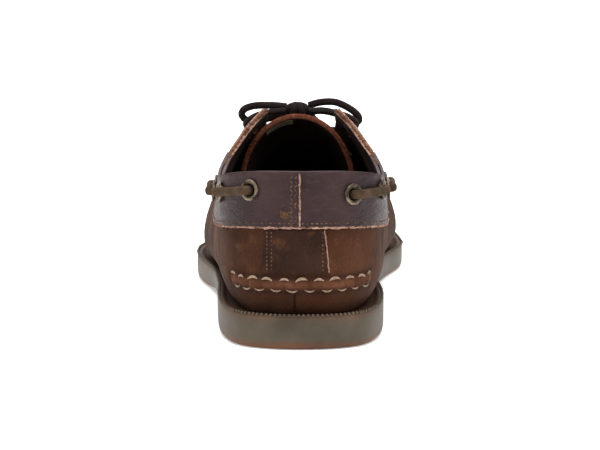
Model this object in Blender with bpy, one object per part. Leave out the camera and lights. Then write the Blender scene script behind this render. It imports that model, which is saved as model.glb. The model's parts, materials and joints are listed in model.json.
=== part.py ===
"""Boat shoe, left foot, as an assembly of outsole, insole, hand sewn upper, collar, eyestays and laces.

Metres, +Z up, +Y towards the toe, +X to the medial side. The tables hold shares of the named
sizes, with one row for each section, counted along the shoe from heel to toe.
"""
import math

import bmesh
import bpy
import numpy as np
from mathutils import Matrix, Vector

# Outsole
SOLE_LENGTH = 0.295
BALL_WIDTH = 0.1075
HEEL_WIDTH = 0.0775
HEEL_THICKNESS = 0.0155
BALL_THICKNESS = 0.0126
ARCH_RISE = 0.0042
TOE_SPRING = 0.0090
SPRING_START = 0.76
BREAST = (0.275, 0.300)
BALL_REST = (0.43, 0.56)
HEEL_TO_BALL = (0.22, 0.55)
TREAD_EDGE_RADIUS = 0.0030
RIM_EDGE = 0.0007
RIM_WIDTH = 0.0030
CHANNEL_DEPTH = 0.0012

# Upper, measured from the floor
HULL_BACK = 0.0055
HULL_FRONT = 0.2895
BULGE_HEEL = 0.0330
BULGE_BALL = 0.0235
BULGE_TOE = 0.0340
BACK_HEIGHT = 0.0787
SIDE_HEIGHT = 0.0705
TAB_HEIGHT = 0.0950
THROAT_HEIGHT = 0.0725
TOE_HEIGHT = 0.0490
TAB_SPREAD = 0.0325
THROAT_WIDTH = 0.0270
WALL = 0.0016
GAP = 0.0003

# Raised hand sewn seams
TOE_SEAM_RISE = 0.0022
HEEL_SEAM_RISE = 0.0024
HEEL_SEAM_REACH = 0.0300

# Overlays
COLLAR_THICKNESS = 0.0015
COLLAR_FRONT = 0.2750
EYESTAY_THICKNESS = 0.0012
EYESTAY_BACK = 0.2775
EYESTAY_FRONT = 0.568
SEAM_HALF_WIDTH = 0.035
HEEL_STRIP_WIDTH = 0.0285
HEEL_STRIP_OFFSET = -0.0027
HEEL_STRIP_THICKNESS = 0.0009

# Tongue and insole
TONGUE_THICKNESS = 0.0026
TONGUE_DEPTH = 0.0295
TONGUE_LEAN = 0.0018
TONGUE_HALF_WIDTH = 0.0278
INSOLE_THICKNESS = 0.0035
INSOLE_CLEARANCE = 0.0012

# Eyelets and lace
EYELET_RADIUS = 0.0048
EYELET_HOLE = 0.0030
EYELET_FLANGE = 0.0009
EYELET_BARREL = 0.0004
EYELET_ROLL = 0.0006
EYELET_SEAT = 0.0005
LACE_WIDTH = 0.0042
LACE_THICKNESS = 0.0028
LACE_DIAMETER = 0.0036

HULL_COLUMNS = 56
LEATHER_BROWN = (0.105, 0.047, 0.026, 1)
COLLAR_BROWN = (0.038, 0.024, 0.026, 1)
LINING_BROWN = (0.035, 0.022, 0.015, 1)
RUBBER_TAUPE = (0.110, 0.088, 0.070, 1)
LACE_BROWN = (0.040, 0.027, 0.020, 1)
AGED_BRASS = (0.250, 0.190, 0.110, 1)

# along, half width share, centre line share of the ball's half width
SOLE_PLAN = (
    (0.000, 0.000, 0.000),
    (0.025, 0.650, 0.000),
    (0.060, 0.835, 0.000),
    (0.100, 0.925, 0.000),
    (0.190, 0.992, -0.004),
    (0.300, 0.975, -0.022),
    (0.400, 0.896, -0.056),
    (0.500, 0.850, -0.064),
    (0.600, 0.885, -0.094),
    (0.700, 0.960, -0.042),
    (0.740, 0.984, 0.006),
    (0.800, 0.929, 0.062),
    (0.880, 0.792, 0.105),
    (0.940, 0.612, 0.128),
    (0.975, 0.418, 0.140),
    (1.000, 0.000, 0.146),
)
HULL_PLAN = (
    (0.000, 0.000, 0.000),
    (0.025, 0.560, 0.000),
    (0.060, 0.765, 0.000),
    (0.100, 0.880, 0.000),
    (0.190, 0.985, -0.002),
    (0.300, 1.030, -0.010),
    (0.400, 0.992, -0.019),
    (0.500, 0.928, -0.028),
    (0.600, 0.906, -0.030),
    (0.700, 0.915, -0.008),
    (0.740, 0.912, 0.022),
    (0.800, 0.860, 0.060),
    (0.880, 0.742, 0.100),
    (0.940, 0.572, 0.124),
    (0.975, 0.388, 0.138),
    (1.000, 0.000, 0.146),
)
# along, how far the upper's foot lies inside the sole's outline
SEAT_INSET = (
    (0.00, 0.0085),
    (0.20, 0.0080),
    (0.50, 0.0070),
    (0.75, 0.0085),
    (1.00, 0.0100),
)

# along, place along the sole, half spread, height, rise at the edge in degrees, fullness
TOP_EDGE = (
    (0.000, 0.0330, 0.000 * HEEL_WIDTH, 1.000 * BACK_HEIGHT, 84, 0.40),
    (0.025, 0.0430, 0.215 * HEEL_WIDTH, 0.998 * BACK_HEIGHT, 84, 0.40),
    (0.060, 0.0690, 0.342 * HEEL_WIDTH, 0.980 * BACK_HEIGHT, 84, 0.40),
    (0.100, 0.1080, 0.430 * HEEL_WIDTH, 1.060 * SIDE_HEIGHT, 84, 0.40),
    (0.190, 0.2000, 0.478 * HEEL_WIDTH, 1.000 * SIDE_HEIGHT, 82, 0.38),
    (0.250, 0.2620, 0.452 * HEEL_WIDTH, 1.065 * SIDE_HEIGHT, 76, 0.36),
    (0.300, 0.3120, 0.388 * HEEL_WIDTH, 0.855 * TAB_HEIGHT, 66, 0.34),
    (0.360, 0.3700, 0.735 * TAB_SPREAD, 0.930 * TAB_HEIGHT, 57, 0.34),
    (0.415, 0.4200, 0.500 * TAB_SPREAD, 1.000 * TAB_HEIGHT, 52, 0.34),
    (0.450, 0.4530, 0.560 * TAB_SPREAD, 0.930 * TAB_HEIGHT, 46, 0.40),
    (0.500, 0.4960, 0.630 * THROAT_WIDTH, 0.845 * TAB_HEIGHT, 40, 0.46),
    (0.550, 0.5400, 0.500 * THROAT_WIDTH, 1.040 * THROAT_HEIGHT, 32, 0.52),
    (0.575, 0.5630, 0.330 * THROAT_WIDTH, 1.012 * THROAT_HEIGHT, 15, 0.58),
    (0.592, 0.5700, 0.000 * THROAT_WIDTH, 1.000 * THROAT_HEIGHT, 0, 0.62),
    (0.650, 0.6250, 0.000 * THROAT_WIDTH, 0.912 * THROAT_HEIGHT, 0, 0.62),
    (0.700, 0.6730, 0.000 * THROAT_WIDTH, 0.852 * THROAT_HEIGHT, 0, 0.62),
    (0.800, 0.7650, 0.000 * THROAT_WIDTH, 1.150 * TOE_HEIGHT, 0, 0.64),
    (0.880, 0.8250, 0.000 * THROAT_WIDTH, 1.080 * TOE_HEIGHT, 0, 0.66),
    (0.940, 0.8600, 0.000 * THROAT_WIDTH, 1.035 * TOE_HEIGHT, 0, 0.68),
    (1.000, 0.8850, 0.000 * THROAT_WIDTH, 1.000 * TOE_HEIGHT, 0, 0.70),
)
RIDGE_START = 0.592

# How far the toe lies to the medial side of the heel's middle, and where it moves there
RIDGE_SHIFT = 0.06 * BALL_WIDTH
RIDGE_SHIFTS = (0.55, 0.95)

# along, height of the side's widest line
BULGE = (
    (0.00, BULGE_HEEL),
    (0.20, BULGE_HEEL),
    (0.40, 0.92 * BULGE_HEEL),
    (0.60, BULGE_BALL),
    (0.80, BULGE_BALL),
    (1.00, BULGE_TOE),
)

# along, share of the climb from the bulge to the top edge
# The overlays end at this line, and in front of them the plug's seam follows it.
OVERLAY_LINE = (
    (0.000, 0.453),
    (0.120, 0.425),
    (0.200, 0.413),
    (0.300, 0.393),
    (0.360, 0.340),
    (0.420, 0.320),
    (0.480, 0.410),
    (0.530, 0.590),
    (0.568, 0.760),
    (0.600, 0.800),
    (0.650, 0.790),
    (0.700, 0.740),
    (0.800, 0.710),
    (0.880, 0.680),
    (0.940, 0.660),
    (1.000, 0.600),
)


def station(along):
    """The column parameter of a place along the shoe, which is even round both ends."""
    return math.acos(1 - 2 * along) / math.pi


def along_of(column):
    return (1 - math.cos(math.pi * column)) / 2


def smooth_step(low, high, value):
    t = min(1.0, max(0.0, (value - low) / (high - low)))
    return t * t * (3 - 2 * t)


def cubic(xs, ys, flat_ends=False):
    """A cubic spline through a table's column, with free ends or level ones."""
    xs, ys = np.array(xs, float), np.array(ys, float)
    n, h = len(xs), np.diff(xs)
    a, r = np.zeros((n, n)), np.zeros(n)
    slopes = np.diff(ys) / h
    for i in range(1, n - 1):
        a[i, i - 1 : i + 2] = h[i - 1], 2 * (h[i - 1] + h[i]), h[i]
        r[i] = 6 * (slopes[i] - slopes[i - 1])
    a[0, 0] = a[-1, -1] = 1
    if flat_ends:
        a[0, :2], r[0] = (2 * h[0], h[0]), 6 * slopes[0]
        a[-1, -2:], r[-1] = (h[-1], 2 * h[-1]), -6 * slopes[-1]
    m = np.linalg.solve(a, r)

    def value(x):
        i = int(min(max(np.searchsorted(xs, x) - 1, 0), n - 2))
        p, q = (xs[i + 1] - x) / h[i], (x - xs[i]) / h[i]
        bend = ((p**3 - p) * m[i] + (q**3 - q) * m[i + 1]) * h[i] ** 2 / 6
        return p * ys[i] + q * ys[i + 1] + bend

    return value


def monotone(xs, ys):
    """A curve through a table's column that never overshoots its rows."""
    xs, ys = np.array(xs, float), np.array(ys, float)
    h, d = np.diff(xs), np.diff(ys) / np.diff(xs)
    m = np.zeros(len(xs))
    for i in range(1, len(xs) - 1):
        if d[i - 1] * d[i] > 0:
            w1, w2 = 2 * h[i] + h[i - 1], h[i] + 2 * h[i - 1]
            m[i] = (w1 + w2) / (w1 / d[i - 1] + w2 / d[i])

    def value(x):
        i = int(min(max(np.searchsorted(xs, x) - 1, 0), len(h) - 1))
        t = (x - xs[i]) / h[i]
        rest = t * (1 - t) ** 2 * m[i] - t * t * (1 - t) * m[i + 1]
        return ys[i] * (1 - t) ** 2 * (1 + 2 * t) + ys[i + 1] * t * t * (3 - 2 * t) + rest * h[i]

    return value


def columns(table, kind=monotone, **options):
    """A curve for each column of a table after the first."""
    xs = [station(row[0]) for row in table]
    return [kind(xs, [row[k] for row in table], **options) for k in range(1, len(table[0]))]


def girth(along):
    """Half the width of the foot, from the heel's to the ball's."""
    ball = smooth_step(0.25, 0.68, along)
    return ((1 - ball) * HEEL_WIDTH + ball * BALL_WIDTH) / 2


def plan(table, back, front):
    """An outline on the floor: a point for each signed column, lateral below zero."""
    xs = [station(row[0]) for row in table]
    half = cubic(xs, [row[1] for row in table])
    centre = cubic(xs, [row[2] for row in table], flat_ends=True)

    def point(column):
        side, c = (-1 if column < 0 else 1), abs(column)
        along = along_of(c)
        x = centre(c) * BALL_WIDTH / 2 + side * half(c) * girth(along)
        return Vector((x, back + (front - back) * along))

    return point


sole_plan = plan(SOLE_PLAN, 0, SOLE_LENGTH)
hull_plan = plan(HULL_PLAN, HULL_BACK, HULL_FRONT)
edge_place, edge_spread, edge_height, edge_rise, edge_fullness = columns(TOP_EDGE)
(bulge_height,) = columns(BULGE)
(line_share,) = columns(OVERLAY_LINE)
(seat_inset,) = columns(SEAT_INSET)


def inward(outline, column):
    """The direction on the floor that points into an outline at a column."""
    step = 0.002
    a, b = outline(wrapped(column - step)), outline(wrapped(column + step))
    t = (b - a).normalized()
    return Vector((-t.y, t.x))


def wrapped(column):
    """Columns run from the toe, -1, by the heel, 0, to the toe again, 1."""
    return (column + 1) % 2 - 1


def seat_plan(column):
    """The upper's foot on the floor, inside the sole's outline."""
    return sole_plan(column) + inward(sole_plan, column) * seat_inset(abs(wrapped(column)))


def spring(y):
    """How far the forefoot curls up off the floor."""
    return TOE_SPRING * max(0.0, (y / SOLE_LENGTH - SPRING_START) / (1 - SPRING_START)) ** 1.7


def tread_height(y):
    """The sole's underside: heel, breast, arch, ball and toe spring."""
    along = y / SOLE_LENGTH
    arch = smooth_step(*BREAST, along) - smooth_step(*BALL_REST, along)
    return spring(y) + ARCH_RISE * arch


def rim_height(y):
    """The top of the sole's side wall."""
    ball = smooth_step(*HEEL_TO_BALL, y / SOLE_LENGTH)
    return spring(y) + (1 - ball) * HEEL_THICKNESS + ball * BALL_THICKNESS


def seat_height(y):
    """The upper and the insole rest this high, in the channel inside the rim."""
    return rim_height(y) - CHANNEL_DEPTH + GAP


def bezier(points, t):
    a, b, c, d = points
    s = 1 - t
    return a * s**3 + b * (3 * s * s * t) + c * (3 * s * t * t) + d * t**3


def section(column):
    """The two curves of the upper's section: from the seat out to the bulge, and up to the edge."""
    column = wrapped(column)
    c, side = abs(column), (-1 if column < 0 else 1)
    seat, bulge = seat_plan(column), hull_plan(column)
    base = Vector((seat.x, seat.y, seat_height(seat.y)))
    widest = Vector((bulge.x, bulge.y, bulge_height(c)))
    ridge_x = RIDGE_SHIFT * smooth_step(*RIDGE_SHIFTS, along_of(c))
    top = Vector(
        (ridge_x + side * edge_spread(c), edge_place(c) * SOLE_LENGTH, edge_height(c))
    )
    climb = widest.z - base.z
    out = Vector((widest.x - base.x, widest.y - base.y, 0.25 * climb))
    lower = (base, base + 0.55 * out, widest - Vector((0, 0, 0.55 * climb)), widest)
    into, rise = inward(hull_plan, column), math.radians(edge_rise(c))
    slope = 0.0
    if c > station(RIDGE_START):
        step = 0.05
        before, after = max(c - step, station(RIDGE_START)), min(c + step, 1)
        run = (edge_place(after) - edge_place(before)) * SOLE_LENGTH
        slope = (edge_height(after) - edge_height(before)) / max(run, 1e-4)
    across = Vector((into.x, into.y, into.y * max(slope, -0.5))).normalized()
    arriving = across * math.cos(rise) + Vector((0, 0, math.sin(rise)))
    span = Vector((top.x - widest.x, top.y - widest.y)).length
    reach = edge_fullness(c) * (math.cos(rise) * span + math.sin(rise) * (top.z - widest.z))
    lift = Vector((0, 0, edge_fullness(c) * (top.z - widest.z)))
    return lower, (widest, widest + lift, top - arriving * reach, top)


BULGE_ROW = 0.25


def last(column, row):
    """A point of the upper's outer face. Row 0 is the seat and row 1 the top edge or ridge."""
    lower, upper = section(column)
    if row < BULGE_ROW:
        return bezier(lower, row / BULGE_ROW)
    return bezier(upper, (row - BULGE_ROW) / (1 - BULGE_ROW))


def outward(column, row):
    """The unit normal of the upper's outer face."""
    step = 0.004
    low, high = max(row - step, 0), min(row + step, 1)
    along = last(column + step, row) - last(column - step, row)
    up = last(column, high) - last(column, low)
    return along.cross(up).normalized()


def row_at(column, height):
    """The row whose point is at a height above the floor."""
    low, high = 0.0, 1.0
    for _ in range(30):
        middle = (low + high) / 2
        if last(column, middle).z < height:
            low = middle
        else:
            high = middle
    return (low + high) / 2


def column_at(sideways, height):
    """The column round the heel's back whose point lies that far to the side."""
    low, high = 0.0, 0.40
    side = -1 if sideways < 0 else 1
    for _ in range(30):
        middle = (low + high) / 2
        if abs(last(side * middle, row_at(side * middle, height)).x) < abs(sideways):
            low = middle
        else:
            high = middle
    return side * (low + high) / 2


def new_material(name, colour, roughness, metallic=0.0):
    material = bpy.data.materials.new(name)
    material.use_nodes = True
    shader = material.node_tree.nodes["Principled BSDF"]
    shader.inputs["Base Color"].default_value = colour
    shader.inputs["Roughness"].default_value = roughness
    shader.inputs["Metallic"].default_value = metallic
    return material


def add_piece(name, bm, material, smooth_angle=40):
    mesh = bpy.data.meshes.new(name)
    bm.to_mesh(mesh)
    bm.free()
    mesh.materials.append(material)
    mesh.shade_smooth()
    mesh.set_sharp_from_angle(angle=math.radians(smooth_angle))
    piece = bpy.data.objects.new(name, mesh)
    bpy.context.scene.collection.objects.link(piece)
    piece.parent = bpy.data.objects["shoe"]
    return piece


def lattice(rows, closed=False):
    """Triangles through rows of points, split the same way so that pieces that share a grid
    stay parallel. Closed joins each row's end to its start."""
    bm = bmesh.new()
    verts = [[bm.verts.new(p) for p in row] for row in rows]
    width = len(rows[0])
    for low, high in zip(verts, verts[1:]):
        for i in range(width if closed else width - 1):
            j = (i + 1) % width
            bm.faces.new((low[i], low[j], high[j]))
            bm.faces.new((low[i], high[j], high[i]))
    return bm, verts


def solidify(piece, thickness, outwards):
    wall = piece.modifiers.new("wall", "SOLIDIFY")
    wall.thickness = thickness
    wall.offset = 1 if outwards else -1
    wall.use_even_offset = True
    wall.use_rim = True


def overlay_line(column):
    """The row of the overlays' lower edge and of the plug's seam."""
    edge, bulge = last(column, 1).z, last(column, BULGE_ROW).z
    return row_at(column, bulge + line_share(abs(column)) * (edge - bulge))


# The rows from the seat past the heel's raised seam and the bulge
FOOT_ROWS = (0, 0.080, 0.165, 0.2125, 0.248, 0.300)
HEEL_SEAM_ROW = 3
LINE_ROW = 8


def hull_rows(column):
    """The rows of the upper's wall at a column, which its overlays share."""
    line = overlay_line(column)
    low, high = line - SEAM_HALF_WIDTH, line + SEAM_HALF_WIDTH
    rows = [*FOOT_ROWS, (FOOT_ROWS[-1] + low) / 2, low, line, high]
    return rows + [high + (1 - high) * k / 4 for k in (1, 2, 3, 4)]


def strip_edges():
    middle = 0.55 * BACK_HEIGHT
    edges = (HEEL_STRIP_OFFSET - HEEL_STRIP_WIDTH / 2, HEEL_STRIP_OFFSET + HEEL_STRIP_WIDTH / 2)
    return [column_at(edge, middle) for edge in edges]


def even_columns():
    return [-1 + 2 * i / HULL_COLUMNS for i in range(HULL_COLUMNS)]


def hull_columns():
    """The upper's columns, toe to toe, which its overlays share so that their facets lie parallel."""
    throat = [row[0] for row in TOP_EDGE if COLLAR_FRONT < row[0] < EYESTAY_FRONT]
    marks = [COLLAR_FRONT, EYESTAY_BACK, *throat, EYESTAY_FRONT, 0.580, RIDGE_START]
    marks = [station(along) for along in marks]
    marks = [side * mark for mark in marks for side in (-1, 1)] + strip_edges()
    even = [c for c in even_columns() if min(abs(c - mark) for mark in marks) > 0.008]
    return sorted(marks + even)


def columns_between(first, final):
    return [c for c in hull_columns() if first - 1e-9 < c < final + 1e-9]


def toe_seam(column):
    """How much of the plug's raised seam stands at a column."""
    return smooth_step(0.575, 0.605, along_of(abs(column)))


def heel_seam(column):
    """How much of the heel's raised seam stands at a column."""
    reach = abs(last(column, 0.2).x)
    return 1 - smooth_step(0.92 * HEEL_SEAM_REACH, 1.12 * HEEL_SEAM_REACH, reach)


def add_sole(material):
    """One moulded piece: tread, side wall, a rim and the channel that the upper sits in."""
    steps = even_columns()
    breast = [station(a) for a in (0.272, 0.288, 0.302)]
    steps = sorted(steps + [-b for b in breast] + breast)
    round_over = [(math.radians(a)) for a in (0, 30, 60, 90)]
    rings = [
        (TREAD_EDGE_RADIUS * (1 - math.sin(a)), tread_height, TREAD_EDGE_RADIUS * (1 - math.cos(a)))
        for a in round_over
    ]
    rings += [
        (0, rim_height, -RIM_EDGE),
        (RIM_EDGE, rim_height, 0),
        (RIM_WIDTH, rim_height, 0),
        (RIM_WIDTH + CHANNEL_DEPTH / 2, rim_height, -CHANNEL_DEPTH),
    ]
    rows = []
    for inset, height, lift in rings:
        row = []
        for c in steps:
            p = sole_plan(c) + inward(sole_plan, c) * inset
            row.append((p.x, p.y, height(p.y) + lift))
        rows.append(row)
    bm, verts = lattice(rows, closed=True)
    fill_across(bm, verts[0], steps, facing_down=True)
    fill_across(bm, verts[-1], steps, facing_down=False)
    return add_piece("outsole", bm, material)


def fill_across(bm, ring, steps, facing_down):
    """Closes a ring with level strips from the lateral to the medial side."""
    at = {round(c, 9): v for c, v in zip(steps, ring)}
    rungs = [(at[round(c, 9)], at[round(-c, 9)]) for c in steps if -1 < c < 0]
    heel, toe = at[0.0], at[-1.0]
    strips = [(toe, rungs[0][1], rungs[0][0])]
    strips += [(a[0], a[1], b[1], b[0]) for a, b in zip(rungs, rungs[1:])]
    strips.append((rungs[-1][0], rungs[-1][1], heel))
    for corners in strips:
        bm.faces.new(corners if facing_down else corners[::-1])


def add_upper(material, cutters):
    """The hull and quarters, one hollow wall, open at the foot's collar, the throat and below."""
    grid = []
    for c in hull_columns():
        line = []
        for k, row in enumerate(hull_rows(c)):
            rise = HEEL_SEAM_RISE * heel_seam(c) if k == HEEL_SEAM_ROW else 0
            rise += TOE_SEAM_RISE * toe_seam(c) if k == LINE_ROW else 0
            line.append(last(c, row) + outward(c, row) * rise)
        grid.append(line)
    bm, _ = lattice(list(zip(*grid)), closed=True)
    bmesh.ops.remove_doubles(bm, verts=bm.verts, dist=1e-5)
    piece = add_piece("upper", bm, material)
    solidify(piece, WALL, outwards=False)
    cut(piece, cutters)
    return piece


def cut(piece, cutter):
    boolean = piece.modifiers.new("eyelet holes", "BOOLEAN")
    boolean.operation = "DIFFERENCE"
    boolean.object = cutter


def add_patch(name, material, steps, rows_of, thickness, cutter=None):
    """A panel of leather laid on the upper, through the rows that a function gives at a column."""
    grid = [[last(c, v) + outward(c, v) * GAP for v in rows_of(c)] for c in steps]
    bm, _ = lattice(list(zip(*grid)))
    piece = add_piece(name, bm, material)
    solidify(piece, thickness, outwards=True)
    if cutter:
        cut(piece, cutter)
    return piece


def overlay_rows(column):
    return hull_rows(column)[LINE_ROW:]


def strip_rows(column):
    """The heel strip's rows, from just above the raised seam to just below the collar."""
    rows = hull_rows(column)
    collar = rows[LINE_ROW]
    below = row_at(column, last(column, collar).z - 2 * GAP)
    return [row_at(column, BULGE_HEEL + 0.0005), *rows[5:LINE_ROW], below]


def add_collar(material, cutter):
    front = station(COLLAR_FRONT)
    steps = columns_between(-front, front)
    return add_patch("collar", material, steps, overlay_rows, COLLAR_THICKNESS, cutter)


def add_eyestay(name, side, material, cutter):
    ends = sorted((side * station(EYESTAY_BACK), side * station(EYESTAY_FRONT)))
    steps = columns_between(*ends)
    return add_patch(name, material, steps, overlay_rows, EYESTAY_THICKNESS, cutter)


def add_heel_strip(material):
    """The stay over the back seam, from the raised seam up to the collar."""
    steps = columns_between(*strip_edges())
    return add_patch("heel_strip", material, steps, strip_rows, HEEL_STRIP_THICKNESS)


def add_insole(material):
    """The footbed, inside the upper's foot and clear of its wall."""
    steps = even_columns()
    inset = WALL + INSOLE_CLEARANCE
    rows = []
    for extra, lift in ((0, 0), (0, 0.6 * INSOLE_THICKNESS), (0.001, INSOLE_THICKNESS)):
        row = []
        for c in steps:
            p = seat_plan(c) + inward(seat_plan, c) * (inset + extra)
            row.append((p.x, p.y, seat_height(p.y) + lift))
        rows.append(row)
    bm, verts = lattice(rows, closed=True)
    fill_across(bm, verts[0], steps, facing_down=True)
    fill_across(bm, verts[-1], steps, facing_down=False)
    return add_piece("insole", bm, material)


# place along the sole, share of the climb from the throat to the tabs, half width, drop of the sides
TONGUE = (
    (0.390, 0.930, 1.00, 1.00),
    (0.425, 0.800, 1.03, 0.98),
    (0.470, 0.510, 1.00, 0.93),
    (0.520, 0.145, 0.92, 0.84),
    (0.565, -0.135, 0.84, 0.58),
    (0.605, -0.350, 0.72, 0.30),
)
TONGUE_TURN = math.radians(82)
TONGUE_LEANS = (0.40, 0.52)


def tongue_curves():
    xs = [row[0] for row in TONGUE]
    return [cubic(xs, [row[k] for row in TONGUE]) for k in (1, 2, 3)]


def tongue_point(place, across):
    """A point of the tongue's outer face; across runs from -1 to 1."""
    climb, half, drop = (curve(place) for curve in tongue_curves())
    angle = across * TONGUE_TURN
    out = half * TONGUE_HALF_WIDTH * math.sin(angle) / math.sin(TONGUE_TURN)
    down = drop * TONGUE_DEPTH * (1 - math.cos(angle)) / (1 - math.cos(TONGUE_TURN))
    top = THROAT_HEIGHT + climb * (TAB_HEIGHT - THROAT_HEIGHT)
    lean = TONGUE_LEAN * (1 - smooth_step(*TONGUE_LEANS, place))
    return Vector((out - lean, place * SOLE_LENGTH, top - down))


def add_tongue(material):
    first, final = TONGUE[0][0], TONGUE[-1][0]
    rows = []
    for i in range(10):
        place = first + (final - first) * i / 9
        rows.append([tongue_point(place, -1 + 2 * j / 10) for j in range(11)])
    bm, _ = lattice(rows)
    piece = add_piece("tongue", bm, material)
    solidify(piece, TONGUE_THICKNESS, outwards=False)
    return piece


# name, column along, heights on the lateral and medial sides: four round the collar, two on a tab
EYELETS = (
    ("side_1", 0.037, 0.886 * BACK_HEIGHT, 0.862 * BACK_HEIGHT),
    ("side_2", 0.108, 0.936 * SIDE_HEIGHT, 0.954 * SIDE_HEIGHT),
    ("side_3", 0.173, 0.900 * SIDE_HEIGHT, 0.922 * SIDE_HEIGHT),
    ("side_4", 0.236, 0.905 * SIDE_HEIGHT, 0.925 * SIDE_HEIGHT),
    ("tab_rear", 0.440, 0.872 * TAB_HEIGHT, 0.872 * TAB_HEIGHT),
    ("tab_front", 0.515, 0.762 * TAB_HEIGHT, 0.762 * TAB_HEIGHT),
)


# Lace: the places on the shoe that the bow's parts go through, in millimetres from the heel's
# back on the floor, lateral below zero
KNOT_CENTRE = (-2.0, 138.0, 92.3)
KNOT_SIZE = (10.0, 9.0, 8.0)
STRAND_SPOT = 135.4
LATERAL_LOOP = (
    (-7.4, 140.4, 93.6),
    (-11.0, 140.8, 94.0),
    (-14.7, 140.8, 94.2),
    (-18.3, 140.5, 94.3),
    (-21.9, 140.4, 94.2),
    (-25.2, 140.5, 93.6),
    (-28.2, 141.1, 92.2),
    (-29.4, 142.3, 89.8),
    (-28.2, 143.5, 87.4),
    (-25.2, 144.1, 86.1),
    (-21.8, 144.3, 86.2),
    (-18.2, 144.2, 87.0),
    (-14.6, 143.7, 88.0),
    (-10.8, 142.5, 89.1),
    (-7.2, 140.8, 89.8),
)
MEDIAL_LOOP = (
    (3.5, 140.4, 94.2),
    (7.5, 140.9, 95.4),
    (12.0, 141.0, 96.0),
    (16.5, 140.8, 95.8),
    (20.4, 140.4, 94.4),
    (23.7, 140.1, 92.6),
    (26.4, 139.9, 90.6),
    (28.0, 140.5, 88.4),
    (28.0, 142.3, 86.4),
    (26.2, 144.0, 85.4),
    (23.6, 144.9, 86.2),
    (20.4, 145.2, 88.0),
    (16.6, 145.0, 89.8),
    (12.0, 144.2, 91.0),
    (7.5, 142.9, 91.3),
    (3.4, 141.4, 90.4),
)
LATERAL_END = (
    (-4.1, 142.9, 92.4),
    (-5.4, 146.8, 91.2),
    (-8.0, 152.0, 87.4),
    (-11.5, 158.0, 82.4),
    (-15.0, 164.0, 77.0),
    (-18.0, 170.0, 72.8),
)
MEDIAL_END = (
    (0.1, 142.9, 92.4),
    (1.8, 146.8, 91.2),
    (5.0, 152.0, 87.4),
    (9.5, 158.0, 82.4),
    (14.0, 164.0, 77.0),
    (18.0, 170.0, 72.8),
)
BOW_CORDS = {
    "lace_loop_lateral": LATERAL_LOOP,
    "lace_loop_medial": MEDIAL_LOOP,
    "lace_end_lateral": LATERAL_END,
    "lace_end_medial": MEDIAL_END,
}
LACE_CLEARANCE = 0.0008
STRAND_CROSSING = 0.451


def eyelet_frames():
    """Where each eyelet's face lies, and the way that it looks out."""
    frames = {}
    for name, along, lateral, medial in EYELETS:
        for side, height in ((-1, lateral), (1, medial)):
            c = side * station(along)
            row = row_at(c, height)
            normal = outward(c, row)
            over = EYESTAY_THICKNESS if name.startswith("tab") else COLLAR_THICKNESS
            place = last(c, row) + normal * (GAP + over)
            label = f"eyelet_{'lateral' if side < 0 else 'medial'}_{name}"
            frames[label] = (place, normal)
    return frames


def turned(profile, segments):
    """A closed ring of faces round Z from a closed profile of radius and height."""
    rows = []
    for radius, height in profile + profile[:1]:
        turns = [2 * math.pi * i / segments for i in range(segments)]
        rows.append([(radius * math.cos(t), radius * math.sin(t), height) for t in turns])
    bm, _ = lattice(rows, closed=True)
    bmesh.ops.remove_doubles(bm, verts=bm.verts, dist=1e-6)
    return bm


def facing(place, normal):
    turn = normal.to_track_quat("Z", "Y").to_matrix().to_4x4()
    return Matrix.Translation(place) @ turn


def add_eyelet(name, place, normal, material):
    """A rolled flange with a short barrel that goes down through the leather."""
    depth = COLLAR_THICKNESS + GAP + WALL
    profile = [
        (EYELET_HOLE, -depth),
        (EYELET_HOLE + EYELET_BARREL, -depth),
        (EYELET_HOLE + EYELET_BARREL, EYELET_SEAT),
        (EYELET_RADIUS, EYELET_SEAT),
        (EYELET_RADIUS - EYELET_ROLL, EYELET_SEAT + EYELET_FLANGE),
        (EYELET_HOLE + EYELET_ROLL / 2, EYELET_SEAT + EYELET_FLANGE),
    ]
    bm = turned(profile, 10)
    bmesh.ops.recalc_face_normals(bm, faces=bm.faces)
    piece = add_piece(name, bm, material, smooth_angle=50)
    piece.matrix_local = facing(place, normal)
    return piece


def add_eyelet_cutters(frames):
    """One helper object with a round cutter at each eyelet."""
    bm = bmesh.new()
    for place, normal in frames.values():
        bmesh.ops.create_cone(
            bm,
            cap_ends=True,
            segments=10,
            radius1=EYELET_HOLE + EYELET_BARREL + GAP,
            radius2=EYELET_HOLE + EYELET_BARREL + GAP,
            depth=0.014,
            matrix=facing(place, normal),
        )
    mesh = bpy.data.meshes.new("eyelet_cutters")
    bm.to_mesh(mesh)
    bm.free()
    cutter = bpy.data.objects.new("eyelet_cutters", mesh)
    bpy.context.scene.collection.objects.link(cutter)
    cutter.parent = bpy.data.objects["shoe"]
    cutter.hide_render = True
    cutter.display_type = "WIRE"
    return cutter


def lace_frame(label, frames):
    return frames[f"eyelet_{label}"]


def over_leather(column, row, thickness):
    """A point of a lace's centre line that lies over an overlay."""
    rise = GAP + thickness + LACE_CLEARANCE + LACE_THICKNESS / 2
    return last(column, row) + outward(column, row) * rise


def out_of_eyelet(place, normal, toward):
    """Three points by which a lace comes up out of an eyelet and turns towards a point."""
    lift = EYELET_SEAT + EYELET_FLANGE + LACE_CLEARANCE + LACE_THICKNESS / 2
    aside = toward - place
    aside = (aside - normal * aside.dot(normal)).normalized()
    return [
        place - normal * COLLAR_THICKNESS,
        place + normal * (lift - LACE_THICKNESS * 0.65),
        place + normal * (lift - LACE_THICKNESS * 0.12) + aside * EYELET_HOLE * 0.28,
        place + normal * lift + aside * EYELET_HOLE * 0.85,
    ]


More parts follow.
